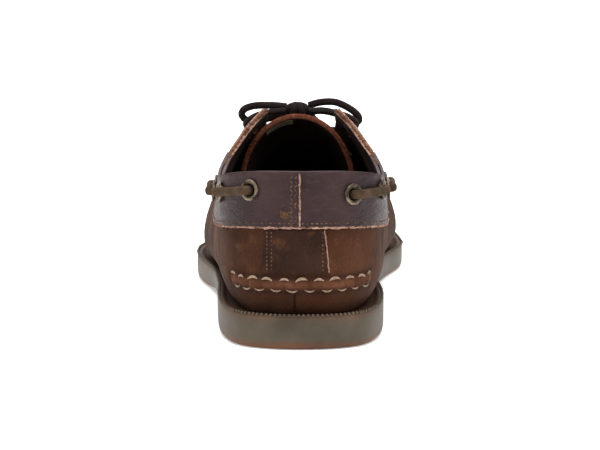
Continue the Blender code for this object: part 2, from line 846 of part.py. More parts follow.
def add_strap(name, points, across, material):
    """A flat lace through points; across gives the way its width lies at each."""
    sides = 8
    rows = []
    for i, point in enumerate(points):
        tangent = (points[min(i + 1, len(points) - 1)] - points[max(i - 1, 0)]).normalized()
        wide = (across[i] - tangent * across[i].dot(tangent)).normalized()
        thick = tangent.cross(wide)
        ring = []
        for k in range(sides):
            turn = 2 * math.pi * (k + 0.5) / sides
            ring.append(
                point
                + wide * (math.cos(turn) * LACE_WIDTH / 2 / math.cos(math.pi / sides))
                + thick * (math.sin(turn) * LACE_THICKNESS / 2 / math.cos(math.pi / sides))
            )
        rows.append(ring)
    bm, verts = lattice(rows, closed=True)
    bm.faces.new(verts[0])
    bm.faces.new(verts[-1])
    bmesh.ops.recalc_face_normals(bm, faces=bm.faces)
    return add_piece(name, bm, material)


def add_side_lace(side, first, second, frames, material):
    """A stretch of lace over the collar, out of one side eyelet and into the next."""
    word = "lateral" if side < 0 else "medial"
    table = {row[0]: row for row in EYELETS}
    (a, a_normal), (b, b_normal) = (
        lace_frame(f"{word}_{name}", frames) for name in (first, second)
    )
    heights = [table[name][2 if side < 0 else 3] for name in (first, second)]
    ends = [side * station(table[name][1]) for name in (first, second)]
    between = []
    for share in (0.36, 0.64):
        c = ends[0] + (ends[1] - ends[0]) * share
        height = heights[0] + (heights[1] - heights[0]) * share
        between.append(over_leather(c, row_at(c, height), COLLAR_THICKNESS))
    points = out_of_eyelet(a, a_normal, between[0])
    points += between + out_of_eyelet(b, b_normal, between[1])[::-1]
    run = (b - a).normalized()
    normals = [a_normal] * 4 + [(a_normal + b_normal).normalized()] * 2 + [b_normal] * 4
    across = [normal.cross(run) for normal in normals]
    add_strap(f"lace_{word}_{first}", points, across, material)


def edge_crossing(side, along):
    """Where a lace lies over the throat's edge."""
    c = side * station(along)
    return over_leather(c, 1, EYESTAY_THICKNESS) + Vector((0, 0, LACE_CLEARANCE))


def add_crossing(frames, material):
    """The lace's bar across the throat, between the front eyelets."""
    (a, a_normal), (b, b_normal) = (
        lace_frame(f"{word}_tab_front", frames) for word in ("lateral", "medial")
    )
    along = {row[0]: row for row in EYELETS}["tab_front"][1]
    left, right = edge_crossing(-1, along), edge_crossing(1, along)
    middle = tongue_point(left.y / SOLE_LENGTH, 0) + Vector((0, 0, 1.1 * LACE_THICKNESS))
    points = out_of_eyelet(a, a_normal, left) + [left, middle, right]
    points += out_of_eyelet(b, b_normal, right)[::-1]
    across = [Vector((0, 1, 0.5))] * len(points)
    add_strap("lace_bar_front", points, across, material)


def add_knot_strand(side, frames, material):
    """The lace from a rear eyelet, over the throat's edge, to the knot."""
    word = "lateral" if side < 0 else "medial"
    place, normal = lace_frame(f"{word}_tab_rear", frames)
    edge = edge_crossing(side, STRAND_CROSSING)
    centre, size = Vector(KNOT_CENTRE) / 1000, Vector(KNOT_SIZE) / 1000
    end = Vector((centre.x + side * (size.x / 2 + 2 * GAP), STRAND_SPOT / 1000, centre.z))
    points = out_of_eyelet(place, normal, edge) + [edge, end]
    across = [Vector((0, 1, 0.2))] * len(points)
    add_strap(f"lace_strand_{word}", points, across, material)


def add_knot(material):
    bm = bmesh.new()
    size = Matrix.Diagonal([*(share / 1000 for share in KNOT_SIZE), 1])
    bmesh.ops.create_icosphere(bm, subdivisions=2, radius=0.5, matrix=size)
    piece = add_piece("lace_knot", bm, material)
    piece.location = Vector(KNOT_CENTRE) / 1000
    return piece


def through(points, count):
    """Points read from one smooth curve through a cord's own points."""
    spots = [Vector(p) / 1000 for p in points]
    lengths = [0.0]
    for a, b in zip(spots, spots[1:]):
        lengths.append(lengths[-1] + (b - a).length)
    curves = [cubic(lengths, [p[axis] for p in spots]) for axis in range(3)]
    steps = [lengths[-1] * i / (count - 1) for i in range(count)]
    return [Vector([curve(step) for curve in curves]) for step in steps]


def add_cord(name, points, material):
    curve = bpy.data.curves.new(name, "CURVE")
    curve.dimensions = "3D"
    curve.bevel_depth = LACE_DIAMETER / 2
    curve.bevel_resolution = 2
    curve.use_fill_caps = True
    path = through(points, max(6, 2 * len(points) - 4))
    spline = curve.splines.new("POLY")
    spline.points.add(len(path) - 1)
    for spot, place in zip(spline.points, path):
        spot.co = (*place, 1)
    curve.materials.append(material)
    piece = bpy.data.objects.new(name, curve)
    bpy.context.scene.collection.objects.link(piece)
    piece.parent = bpy.data.objects["shoe"]
    return piece


def main():
    for old in list(bpy.data.objects):
        bpy.data.objects.remove(old)
    shoe = bpy.data.objects.new("shoe", None)
    bpy.context.scene.collection.objects.link(shoe)
    samples = [sole_plan(-1 + i / 500).x for i in range(1001)]
    middle = (min(samples) + max(samples)) / 2
    shoe.location = (-middle, -SOLE_LENGTH / 2, 0)

    rubber = new_material("rubber", RUBBER_TAUPE, 0.55)
    leather = new_material("leather", LEATHER_BROWN, 0.75)
    smooth_leather = new_material("collar_leather", COLLAR_BROWN, 0.45)
    lining = new_material("lining", LINING_BROWN, 0.8)
    metal = new_material("eyelet_metal", AGED_BRASS, 0.4, 1.0)

    frames = eyelet_frames()
    cutters = add_eyelet_cutters(frames)
    add_sole(rubber)
    add_insole(lining)
    add_upper(leather, cutters)
    add_collar(smooth_leather, cutters)
    add_eyestay("eyestay_lateral", -1, leather, cutters)
    add_eyestay("eyestay_medial", 1, leather, cutters)
    add_heel_strip(leather)
    add_tongue(leather)
    for name, (place, normal) in frames.items():
        add_eyelet(name, place, normal, metal)
    rawhide = new_material("rawhide_lace", LACE_BROWN, 0.7)
    for side in (-1, 1):
        add_side_lace(side, "side_1", "side_2", frames, rawhide)
        add_side_lace(side, "side_3", "side_4", frames, rawhide)
        add_knot_strand(side, frames, rawhide)
    add_crossing(frames, rawhide)
    add_knot(rawhide)
    for name, points in BOW_CORDS.items():
        add_cord(name, points, rawhide)


main()
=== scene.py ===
"""Looks of a left boat shoe: oiled nubuck, smooth collar, hand sewn seams, laces and rubber sole."""
import json
import math
import random

import bmesh
import bpy
from mathutils import Matrix, Vector
from mathutils.bvhtree import BVHTree
from mathutils.kdtree import KDTree

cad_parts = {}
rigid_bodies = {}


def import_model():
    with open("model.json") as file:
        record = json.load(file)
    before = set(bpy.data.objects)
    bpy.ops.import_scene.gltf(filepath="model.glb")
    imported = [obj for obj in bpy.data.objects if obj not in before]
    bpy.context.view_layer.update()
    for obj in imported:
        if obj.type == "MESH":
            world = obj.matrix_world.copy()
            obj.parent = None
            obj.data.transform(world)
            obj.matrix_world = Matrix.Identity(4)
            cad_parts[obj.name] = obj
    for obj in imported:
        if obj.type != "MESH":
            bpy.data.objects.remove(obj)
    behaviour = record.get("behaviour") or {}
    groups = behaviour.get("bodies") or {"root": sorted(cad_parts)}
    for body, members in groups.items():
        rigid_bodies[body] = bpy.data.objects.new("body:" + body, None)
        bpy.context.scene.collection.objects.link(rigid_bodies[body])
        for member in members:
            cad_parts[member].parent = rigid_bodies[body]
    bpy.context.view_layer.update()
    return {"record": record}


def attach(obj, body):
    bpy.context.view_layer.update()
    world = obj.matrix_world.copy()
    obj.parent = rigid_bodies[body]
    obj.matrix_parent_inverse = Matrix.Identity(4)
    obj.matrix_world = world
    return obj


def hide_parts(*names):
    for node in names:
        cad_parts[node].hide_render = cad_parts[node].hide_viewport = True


MM = 0.001
HEEL_BACK = -147.5 * MM
HEEL_MIDDLE = 0.23 * MM

# The camera stands behind the heel and looks along +Y, slightly down
CAMERA_BEHIND_HEEL = 1106.7 * MM
CAMERA_HEIGHT = 224.2 * MM
CAMERA_ASIDE = -0.78 * MM
CAMERA_PITCH = 8.63
FOCAL_PIXELS = 2555.3
FRAME_WIDTH = 600
SENSOR_WIDTH = 36.0

CUT_EDGE_WIDTH = 2.8 * MM
LINING_DEPTH = 5.0 * MM
STAY_STITCH_PITCH = 2.2 * MM
STAY_STITCH_INSET = 2.2 * MM
LACE_DIAMETER = 3.6 * MM
COLLAR_END = -66 * MM
HEEL_ROUND = 34
KNOT_CENTRE = (-2.0, 138.0, 92.3)

# The bow's route, in millimetres from the heel's back on the floor, as in the CAD
LATERAL_LOOP = (
    (-7.4, 140.4, 93.6),
    (-11.0, 140.8, 94.0),
    (-14.7, 140.8, 94.2),
    (-18.3, 140.5, 94.3),
    (-21.9, 140.4, 94.2),
    (-25.2, 140.5, 93.6),
    (-28.2, 141.1, 92.2),
    (-29.4, 142.3, 89.8),
    (-28.2, 143.5, 87.4),
    (-25.2, 144.1, 86.1),
    (-21.8, 144.3, 86.2),
    (-18.2, 144.2, 87.0),
    (-14.6, 143.7, 88.0),
    (-10.8, 142.5, 89.1),
    (-7.2, 140.8, 89.8),
)
MEDIAL_LOOP = (
    (3.5, 140.4, 94.2),
    (7.5, 140.9, 95.4),
    (12.0, 141.0, 96.0),
    (16.5, 140.8, 95.8),
    (20.4, 140.4, 94.4),
    (23.7, 140.1, 92.6),
    (26.4, 139.9, 90.6),
    (28.0, 140.5, 88.4),
    (28.0, 142.3, 86.4),
    (26.2, 144.0, 85.4),
    (23.6, 144.9, 86.2),
    (20.4, 145.2, 88.0),
    (16.6, 145.0, 89.8),
    (12.0, 144.2, 91.0),
    (7.5, 142.9, 91.3),
    (3.4, 141.4, 90.4),
)
LATERAL_END = (
    (-4.1, 142.9, 92.4),
    (-5.4, 146.8, 91.2),
    (-8.0, 152.0, 87.4),
    (-11.5, 158.0, 82.4),
    (-15.0, 164.0, 77.0),
    (-18.0, 170.0, 72.8),
)
MEDIAL_END = (
    (0.1, 142.9, 92.4),
    (1.8, 146.8, 91.2),
    (5.0, 152.0, 87.4),
    (9.5, 158.0, 82.4),
    (14.0, 164.0, 77.0),
    (18.0, 170.0, 72.8),
)


def place(x, y, z):
    """A place on the shoe, given in millimetres from the heel's back on the floor."""
    return Vector((x * MM + HEEL_MIDDLE, y * MM + HEEL_BACK, z * MM))


# Shader values as Python expressions


class Value:
    """A shader socket with arithmetic."""

    def __init__(self, look, socket):
        self.look = look
        self.socket = socket

    def combine(self, operation, first, second):
        node = self.look.node("ShaderNodeMath", {"operation": operation}, {0: first, 1: second})
        return Value(self.look, node.outputs[0])

    def __add__(self, other):
        return self.combine("ADD", self, other)

    def __sub__(self, other):
        return self.combine("SUBTRACT", self, other)

    def __rsub__(self, other):
        return self.combine("SUBTRACT", other, self)

    def __mul__(self, other):
        return self.combine("MULTIPLY", self, other)

    def __truediv__(self, other):
        return self.combine("DIVIDE", self, other)

    def __pow__(self, other):
        return self.combine("POWER", self, other)

    __radd__ = __add__
    __rmul__ = __mul__


class Look:
    """A material with one Principled shader, and short ways to feed it."""

    def __init__(self, name, roughness=0.6, metallic=0.0, **sockets):
        self.material = bpy.data.materials.new(name)
        self.material.use_nodes = True
        self.tree = self.material.node_tree
        self.shader = self.tree.nodes["Principled BSDF"]
        self.shader.inputs["Roughness"].default_value = roughness
        self.shader.inputs["Metallic"].default_value = metallic
        for label, amount in sockets.items():
            self.shader.inputs[label.replace("_", " ")].default_value = amount
        self.coordinates = self.node("ShaderNodeTexCoord").outputs["Object"]

    def node(self, kind, settings=None, inputs=None):
        node = self.tree.nodes.new(kind)
        for label, setting in (settings or {}).items():
            setattr(node, label, setting)
        for key, given in (inputs or {}).items():
            self.feed(node.inputs[key], given)
        return node

    def feed(self, socket, given):
        if isinstance(given, Value):
            given = given.socket
        if isinstance(given, bpy.types.NodeSocket):
            self.tree.links.new(given, socket)
        else:
            socket.default_value = given

    def noise(self, scale, detail=3.0, roughness=0.55, distortion=0.0, vector=None):
        inputs = {
            "Vector": vector or self.coordinates,
            "Scale": scale,
            "Detail": detail,
            "Roughness": roughness,
            "Distortion": distortion,
        }
        return Value(self, self.node("ShaderNodeTexNoise", None, inputs).outputs["Fac"])

    def cells(self, scale, feature="F1", vector=None):
        inputs = {"Vector": vector or self.coordinates, "Scale": scale}
        node = self.node("ShaderNodeTexVoronoi", {"feature": feature}, inputs)
        return Value(self, node.outputs["Distance"])

    def stretched(self, x, y, z):
        """The coordinates with a scale on each axis."""
        inputs = {"Vector": self.coordinates, "Scale": (x, y, z)}
        return self.node("ShaderNodeMapping", None, inputs).outputs["Vector"]

    def axis(self, letter):
        node = self.node("ShaderNodeSeparateXYZ", None, {"Vector": self.coordinates})
        return Value(self, node.outputs[letter])

    def painted(self, name):
        """The strength of a mark painted on the mesh, 0 where there is none."""
        node = self.node("ShaderNodeAttribute", {"attribute_name": name})
        return Value(self, node.outputs["Fac"])

    def wave(self, value):
        """Turns a growing value into one that swings between 0 and 1 once in each whole step."""
        node = self.node("ShaderNodeMath", {"operation": "PINGPONG"}, {0: value, 1: 0.5})
        return Value(self, node.outputs[0]) * 2

    def between(self, value, low, high, out_low=0.0, out_high=1.0):
        """A value mapped from one range to another, and held at its ends."""
        inputs = {"Value": value, "From Min": low, "From Max": high}
        inputs |= {"To Min": out_low, "To Max": out_high}
        node = self.node("ShaderNodeMapRange", {"clamp": True}, inputs)
        return Value(self, node.outputs["Result"])

    def blend(self, factor, first, second):
        node = self.node("ShaderNodeMix", {"data_type": "RGBA"}, {0: factor, 6: first, 7: second})
        return node.outputs[2]

    def colour(self, given):
        self.feed(self.shader.inputs["Base Color"], given)

    def rough(self, given):
        self.feed(self.shader.inputs["Roughness"], given)

    def relief(self, height, distance, strength=1.0):
        inputs = {"Height": height, "Distance": distance, "Strength": strength}
        node = self.node("ShaderNodeBump", None, inputs)
        self.feed(self.shader.inputs["Normal"], node.outputs["Normal"])


def tint(red, green, blue):
    """A colour given as it looks, from 0 to 255, as the linear values that a shader takes."""
    share = [c / 255 for c in (red, green, blue)]
    line = [c / 12.92 if c <= 0.04045 else ((c + 0.055) / 1.055) ** 2.4 for c in share]
    return (*line, 1.0)


# Finishes


def nubuck(name, dark, light):
    look = Look(name, 0.88, Specular_IOR_Level=0.10)
    clouds = look.noise(28, 4, 0.6)
    blotches = look.noise(120, 3, 0.6)
    nap = look.noise(1500, 3, 0.7)
    body = look.blend(look.between(clouds, 0.34, 0.66), dark, light)
    body = look.blend(look.between(blotches, 0.55, 0.80) * 0.4, body, tint(122, 76, 48))
    body = look.blend(look.between(nap, 0.35, 0.65) * 0.45, body, tint(32, 18, 12))
    specks = look.noise(1700, 2, 0.5)
    body = look.blend(look.between(specks, 0.66, 0.76) * 0.22, body, tint(136, 98, 72))
    # Darker towards the sole, below 36 mm: painted shade where the upper curves under towards the
    # ledge.
    low = look.between(look.axis("Z"), 15 * MM, 36 * MM, 0.55, 0.0)
    body = look.blend(low, body, tint(40, 23, 16))
    scuffed = look.painted("scuff") * look.between(blotches, 0.3, 0.6)
    body = look.blend(scuffed, body, tint(104, 66, 48))
    body = look.blend(look.painted("shade"), body, tint(24, 13, 10))
    look.colour(body)
    look.rough(look.between(clouds + blotches * 0.5, 0.5, 1.1, 0.90, 0.72))
    look.relief(nap * 0.6 + look.noise(420, 3) * 0.4, 0.30 * MM, 0.6)
    return look.material


def collar_leather():
    look = Look("collar_leather", 0.48, Specular_IOR_Level=0.22)
    clouds = look.noise(45, 3)
    grain = look.cells(900, "SMOOTH_F1")
    wrinkles = look.noise(240, 4, 0.6, 0.4, look.stretched(1, 1, 2.4))
    body = look.blend(look.between(clouds, 0.3, 0.7), tint(38, 23, 24), tint(60, 40, 40))
    # Lighter grey plum along the wrinkles: painted sheen.
    body = look.blend(look.between(wrinkles, 0.54, 0.74) * 0.45, body, tint(74, 58, 60))
    body = look.blend(look.painted("shade"), body, tint(16, 10, 11))
    look.colour(body)
    look.rough(look.between(wrinkles, 0.3, 0.7, 0.42, 0.60))
    look.relief(grain * 0.5 + wrinkles, 0.45 * MM, 0.8)
    return look.material


def raw_edge(name, dark, light):
    look = Look(name, 0.92, Specular_IOR_Level=0.1)
    fibre = look.noise(700, 4, 0.75)
    patches = look.noise(170, 3)
    body = look.blend(look.between(fibre, 0.35, 0.65), dark, light)
    body = look.blend(look.between(patches, 0.48, 0.72) * 0.7, body, tint(74, 42, 32))
    look.colour(body)
    look.relief(fibre, 0.35 * MM, 0.9)
    return look.material


def lining():
    look = Look("lining_leather", 0.85, Specular_IOR_Level=0.1)
    clouds = look.noise(60, 3)
    grain = look.cells(1000)
    look.colour(look.blend(look.between(clouds, 0.3, 0.7), tint(34, 24, 21), tint(58, 42, 36)))
    look.relief(grain, 0.15 * MM, 0.4)
    return look.material


def sole_rubber():
    """Amber gum rubber whose side walls carry a painted grey-taupe sheen, which gives way to the
    amber towards the tread and the ledge.
    """
    look = Look("moulded_rubber", 0.55, Specular_IOR_Level=0.28)
    clouds = look.noise(38, 3)
    specks = look.noise(600, 2)
    # The grey-taupe side colours are a painted reflection of the pale studio on the gum's walls; the
    # amber shows where that sheen stops.
    side = look.blend(look.between(clouds, 0.3, 0.7), tint(62, 53, 41), tint(84, 74, 60))
    side = look.blend(look.between(specks, 0.6, 0.8) * 0.3, side, tint(92, 80, 62))
    gum = look.blend(look.between(clouds, 0.3, 0.7), tint(74, 45, 28), tint(106, 67, 42))
    edge = look.between(look.painted("amber") + (clouds - 0.5) * 0.5, 0.2, 0.8)
    body = look.blend(edge, side, gum)
    body = look.blend(look.painted("shade"), body, tint(30, 20, 15))
    look.colour(body)
    sipes = look.wave(look.axis("Y") * 190 + look.wave(look.axis("X") * 90) * 0.9)
    under = look.between(look.painted("tread"), 0.5, 0.9)
    groove = look.between(sipes, 0.86, 0.97) * under
    look.relief(look.noise(1100, 2) * 0.15 - groove, 0.5 * MM, 0.7)
    return look.material


def rawhide(name, dark, light):
    look = Look(name, 0.9, Specular_IOR_Level=0.1)
    fuzz = look.noise(1100, 4, 0.7)
    clouds = look.noise(140, 3)
    body = look.blend(look.between(clouds, 0.3, 0.7), dark, light)
    body = look.blend(look.between(fuzz, 0.35, 0.70) * 0.6, body, tint(26, 20, 18))
    look.colour(body)
    look.relief(fuzz, 0.5 * MM, 1.0)
    return look.material


def aged_brass():
    look = Look("aged_brass", 0.45, 0.8)
    clouds = look.noise(260, 4, 0.65)
    body = look.blend(look.between(clouds, 0.38, 0.66), tint(46, 38, 32), tint(136, 120, 100))
    look.colour(body)
    look.rough(look.between(clouds, 0.3, 0.7, 0.60, 0.34))
    look.relief(clouds, 0.2 * MM, 0.6)
    return look.material


def plain(name, dark, light, roughness=0.8, scale=1600):
    look = Look(name, roughness, Specular_IOR_Level=0.15)
    twist = look.noise(scale, 2)
    look.colour(look.blend(look.between(twist, 0.3, 0.7), dark, light))
    look.relief(twist, 0.15 * MM, 0.6)
    return look.material


# Modelling helpers


def deselect():
    bpy.ops.object.select_all(action="DESELECT")


def activate(*pieces):
    deselect()
    for piece in pieces:
        piece.select_set(True)
    bpy.context.view_layer.objects.active = pieces[0]


def finish_modifiers(piece):
    activate(piece)
    for modifier in list(piece.modifiers):
        bpy.ops.object.modifier_apply(modifier=modifier.name)


def looks_in(spot, normal):
    """True for a face that looks into the foot's space."""
    if spot.y > 20 * MM and spot.z > 34 * MM and normal.z > 0.45:
        return False
    y = min(max(spot.y, -105 * MM), 105 * MM)
    return (Vector((HEEL_MIDDLE, y, 36 * MM)) - spot).dot(normal) > 0


def faces_out(spot, normal):
    """True for a face that looks away from the shoe's middle line, as no cut edge does."""
    y = min(max(spot.y, -105 * MM), 105 * MM)
    out = Vector((spot.x - HEEL_MIDDLE, spot.y - y, 0)).normalized()
    return out.dot(normal) > 0.6


def skin(node, name, levels, materials, choose, crease_angle=60):
    """A smooth copy of a CAD node with its corners kept crisp and its cut edges told apart."""
    source = bpy.data.objects[node]
    piece = source.copy()
    piece.data = source.data.copy()
    piece.name = name
    piece.data.name = name
    bpy.context.scene.collection.objects.link(piece)
    activate(piece)
    bpy.ops.object.mode_set(mode="EDIT")
    bpy.ops.mesh.select_all(action="SELECT")
    bpy.ops.mesh.remove_doubles(threshold=0.02 * MM)
    bpy.ops.mesh.tris_convert_to_quads(
        face_threshold=math.radians(40), shape_threshold=math.radians(60)
    )
    bpy.ops.object.mode_set(mode="OBJECT")
    piece.data.materials.clear()
    for material in materials:
        piece.data.materials.append(material)
    bm = bmesh.new()
    bm.from_mesh(piece.data)
    crease = bm.edges.layers.float.get("crease_edge") or bm.edges.layers.float.new("crease_edge")
    sharp = set()
    for edge in bm.edges:
        if len(edge.link_faces) == 2 and edge.calc_face_angle(0) > math.radians(crease_angle):
            edge[crease] = 0.82
            sharp.add(edge)
    for face in bm.faces:
        longest = max(edge.calc_length() for edge in face.edges)
        narrow = face.calc_area() / longest < CUT_EDGE_WIDTH
        cut_edge = narrow and sum(edge in sharp for edge in face.edges) >= 2
        face.material_index = choose(face.calc_center_median(), face.normal, cut_edge)
    bm.to_mesh(piece.data)
    bm.free()
    smooth = piece.modifiers.new("smooth", "SUBSURF")
    smooth.levels = levels
    smooth.render_levels = levels
    finish_modifiers(piece)
    bpy.ops.object.shade_smooth()
    return piece


def carry(piece, slot, *nodes):
    """Puts a finished piece in the scene, in the place of CAD nodes where any are named."""
    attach(piece, "root")
    if nodes:
        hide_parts(*nodes)


SLOTS = {}


class Outside:
    """The faces of some pieces, on which seams and stitches are laid."""

    def __init__(self, *pieces):
        spots, faces = [], []
        for piece in pieces:
            first = len(spots)
            spots += [v.co.copy() for v in piece.data.vertices]
            faces += [[first + i for i in p.vertices] for p in piece.data.polygons]
        self.tree = BVHTree.FromPolygons(spots, faces)

    def nearest(self, spot):
        return self.tree.find_nearest(spot)[:2]

    def hit(self, start, way):
        return self.tree.ray_cast(start, way.normalized())[0]

    def from_behind(self, x, z):
        """The spot that shows at that place in a view from behind, in millimetres."""
        return self.hit(place(x, -60, z), Vector((0, 1, 0)))

    def round_heel(self, length, z):
        """The spot at a length round the heel from its back, lateral below zero."""
        turn = max(-math.pi / 2, min(math.pi / 2, length / HEEL_ROUND))
        ahead = max(0.0, abs(length) - HEEL_ROUND * math.pi / 2)
        out = Vector((math.sin(turn), -math.cos(turn), 0))
        return self.hit(place(0, 42 + ahead, z) + out * 0.1, -out)

    def laid(self, line):
        return [self.nearest(spot)[0] for spot in line]


def folds(node, least, wanted, outer=True):
    """Lines of a CAD node's outward folds of at least an angle, the longest first. outer leaves
    out the folds on the side that faces the foot."""
    source = bpy.data.objects[node]
    bm = bmesh.new()
    bm.from_mesh(source.data)
    bmesh.ops.remove_doubles(bm, verts=bm.verts, dist=0.02 * MM)
    bm.normal_update()
    bm.verts.index_update()
    links = {}
    for edge in bm.edges:
        if len(edge.link_faces) != 2 or edge.calc_face_angle_signed(0) < math.radians(least):
            continue
        widest = max(edge.link_faces, key=lambda face: face.calc_area())
        middle = (edge.verts[0].co + edge.verts[1].co) / 2
        if not wanted(middle) or outer and looks_in(middle, widest.normal):
            continue
        for near, far in (edge.verts, reversed(edge.verts)):
            links.setdefault(near.index, []).append(far.index)
    spots = {vertex.index: vertex.co.copy() for vertex in bm.verts}
    bm.free()
    lines, left = [], set(links)
    while left:
        ends = [i for i in left if len(links[i]) == 1]
        here = min(ends) if ends else min(left)
        path = [here]
        left.discard(here)
        while True:
            ahead = [i for i in links[here] if i in left]
            if not ahead:
                break
            here = ahead[0]
            left.discard(here)
            path.append(here)
        if path[0] in links[path[-1]] and len(path) > 3:
            path.append(path[0])
        lines.append([spots[i] for i in path])
    return sorted(lines, key=route_length, reverse=True)


def paced(line, pitch, start=0.5):
    """(spot, direction) at even steps along a line."""
    found, gone, due = [], 0.0, pitch * start
    for a, b in zip(line, line[1:]):
        length = (b - a).length
        while length and due <= gone + length:
            found.append((a.lerp(b, (due - gone) / length), (b - a).normalized()))
            due += pitch
        gone += length
    return found


def push(piece, line, width, depth):
    """Presses a soft trough along a line, or raises a ridge where depth is below zero. depth may
    also be a function of the length gone along the line."""
    steps = paced(line, 1.0 * MM)
    tree = KDTree(len(steps))
    for k, (spot, _) in enumerate(steps):
        tree.insert(spot, k)
    tree.balance()
    moves = []
    for vertex in piece.data.vertices:
        spot, k, distance = tree.find(vertex.co)
        if distance > 2.5 * width or looks_in(vertex.co, vertex.normal):
            continue
        ends = min(1.0, (k + 1) / 8, (len(steps) - k) / 8)
        amount = depth(k * MM) if callable(depth) else depth * ends
        fade = math.exp(-((distance / width) ** 2))
        moves.append((vertex.index, vertex.normal * amount * fade))
    for index, move in moves:
        piece.data.vertices[index].co -= move


def paint(piece, mark, line, width, strength):
    """Paints a soft mark along a line."""
    layer = piece.data.attributes.get(mark) or piece.data.attributes.new(mark, "FLOAT", "POINT")
    steps = paced(line, 1.0 * MM)
    tree = KDTree(len(steps))
    for k, (spot, _) in enumerate(steps):
        tree.insert(spot, k)
    tree.balance()
    for vertex in piece.data.vertices:
        distance = tree.find(vertex.co)[2]
        if distance < 3 * width:
            amount = strength * math.exp(-((distance / width) ** 2))
            layer.data[vertex.index].value = max(layer.data[vertex.index].value, amount)


def refine(piece, wanted):
    """Cuts the faces of a region in four, for finer relief there."""
    for polygon in piece.data.polygons:
        polygon.select = wanted(polygon.center)
    for edge in piece.data.edges:
        edge.select = False
    for vertex in piece.data.vertices:
        vertex.select = False
    activate(piece)
    bpy.ops.object.mode_set(mode="EDIT")
    bpy.ops.mesh.select_mode(type="FACE")
    bpy.ops.mesh.subdivide(number_cuts=1)
    bpy.ops.object.mode_set(mode="OBJECT")


def model_stitch(name, length, width, height, bow=0.0, sink=0.6):
    """One stitch along X with its ends drawn in; bow bends it sideways."""
    deselect()
    bpy.ops.mesh.primitive_uv_sphere_add(segments=10, ring_count=8, radius=0.5)
    piece = bpy.context.object
    piece.name = name
    bpy.ops.object.mode_set(mode="EDIT")
    bpy.ops.transform.rotate(value=math.pi / 2, orient_axis="Y", center_override=(0, 0, 0))
    bpy.ops.transform.resize(value=(length, width, height), center_override=(0, 0, 0))
    bpy.ops.object.mode_set(mode="OBJECT")
    for vertex in piece.data.vertices:
        share = vertex.co.x / (length / 2)
        vertex.co.y += bow * (1 - share * share)
        vertex.co.z -= sink * height * share * share
    bpy.ops.object.shade_smooth()
    return piece


def copies(name, model, matrices, material, slot):
    """Copies of one modelled piece, each with its own mesh, joined to one."""
    made = []
    for matrix in matrices:
        piece = model.copy()
        piece.data = model.data.copy()
        piece.matrix_world = matrix
        bpy.context.scene.collection.objects.link(piece)
        made.append(piece)
    bpy.data.objects.remove(model)
    activate(*made)
    bpy.ops.object.join()
    bpy.ops.object.transform_apply(location=True, rotation=True, scale=True)
    joined = bpy.context.object
    joined.name = name
    joined.data.materials.clear()
    joined.data.materials.append(material)
    carry(joined, slot)
    return joined


def seat_on(outside, spot, along, turn=0.0, lift=0.0, size=1.0, aside=0.0):
    """A matrix that lays a piece on a surface with its X along a direction."""
    if aside:
        _, normal = outside.nearest(spot)
        spot = spot + normal.cross(along).normalized() * aside
    spot, normal = outside.nearest(spot)
    across = normal.cross(along).normalized()
    straight = across.cross(normal).normalized()
    flat = Matrix((straight, across, normal)).transposed().to_4x4()
    spin = Matrix.Rotation(math.radians(turn), 4, "Z")
    return Matrix.Translation(spot + normal * lift) @ flat @ spin @ Matrix.Scale(size, 4)


def stitch_row(name, outside, line, pitch, material, slot, length=0.0, aside=0.0, zigzag=0.0):
    """A row of fine machine stitches along a line, set aside from it to one hand."""
    length = length or 0.68 * pitch
    matrices = [
        seat_on(outside, spot, along, zigzag * (-1) ** k, 0.05 * MM, 1.0, aside)
        for k, (spot, along) in enumerate(paced(line, pitch))
    ]
    model = model_stitch(name, length, 0.55 * MM, 0.5 * MM)
    return copies(name, model, matrices, material, slot)


def rope(name, outside, line, radius, material, slot, rough=0.0, lift=0.0, seed=1):
    """A raised line that follows a surface, such as a frayed cut edge or the lips of a seam."""
    shake = random.Random(seed)
    curve = bpy.data.curves.new(name, "CURVE")
    curve.dimensions = "3D"
    curve.bevel_depth = radius
    curve.bevel_resolution = 2
    curve.use_fill_caps = True
    steps = paced(line, 0.8 * MM)
    spline = curve.splines.new("POLY")
    spline.points.add(len(steps) - 1)
    for point, (spot, _) in zip(spline.points, steps):
        spot, normal = outside.nearest(spot)
        wobble = Vector([shake.uniform(-rough, rough) for _ in range(3)])
        point.co = (*(spot + normal * lift + wobble), 1)
        point.radius = 1 + shake.uniform(-1, 1) * min(0.45, rough / radius)
    piece = bpy.data.objects.new(name, curve)
    bpy.context.scene.collection.objects.link(piece)
    activate(piece)
    bpy.ops.object.convert(target="MESH")
    piece = bpy.context.object
    piece.data.materials.clear()
    piece.data.materials.append(material)
    bpy.ops.object.shade_smooth()
    carry(piece, slot)
    return piece


def panel(name, outside, spot_at, across, up, thickness, lift, material, slot):
    """A thin piece laid on a surface; spot_at(u, v) gives its places, u and v from 0 to 1."""
    deselect()
    bpy.ops.mesh.primitive_grid_add(x_subdivisions=across, y_subdivisions=up, size=1)
    piece = bpy.context.object
    piece.name = name
    for vertex in piece.data.vertices:
        spot, normal = outside.nearest(spot_at(vertex.co.x + 0.5, vertex.co.y + 0.5))
        vertex.co = spot + normal * lift
    wall = piece.modifiers.new("thickness", "SOLIDIFY")
    wall.thickness = thickness
    wall.offset = 1
    round_over = piece.modifiers.new("round", "BEVEL")
    round_over.width = thickness * 0.3
    round_over.segments = 2
    finish_modifiers(piece)
    bpy.ops.object.shade_smooth_by_angle(angle=math.radians(50))
    piece.data.materials.append(material)
    carry(piece, slot)
    return piece


# Stage


def add_camera():
    data = bpy.data.cameras.new("camera")
    data.sensor_width = SENSOR_WIDTH
    data.lens = FOCAL_PIXELS * SENSOR_WIDTH / FRAME_WIDTH
    camera = bpy.data.objects.new("camera", data)
    camera.location = (
        CAMERA_ASIDE + HEEL_MIDDLE,
        HEEL_BACK - CAMERA_BEHIND_HEEL,
        CAMERA_HEIGHT,
    )
    camera.rotation_euler = (math.radians(90 - CAMERA_PITCH), 0, 0)
    bpy.context.scene.collection.objects.link(camera)
    bpy.context.scene.camera = camera


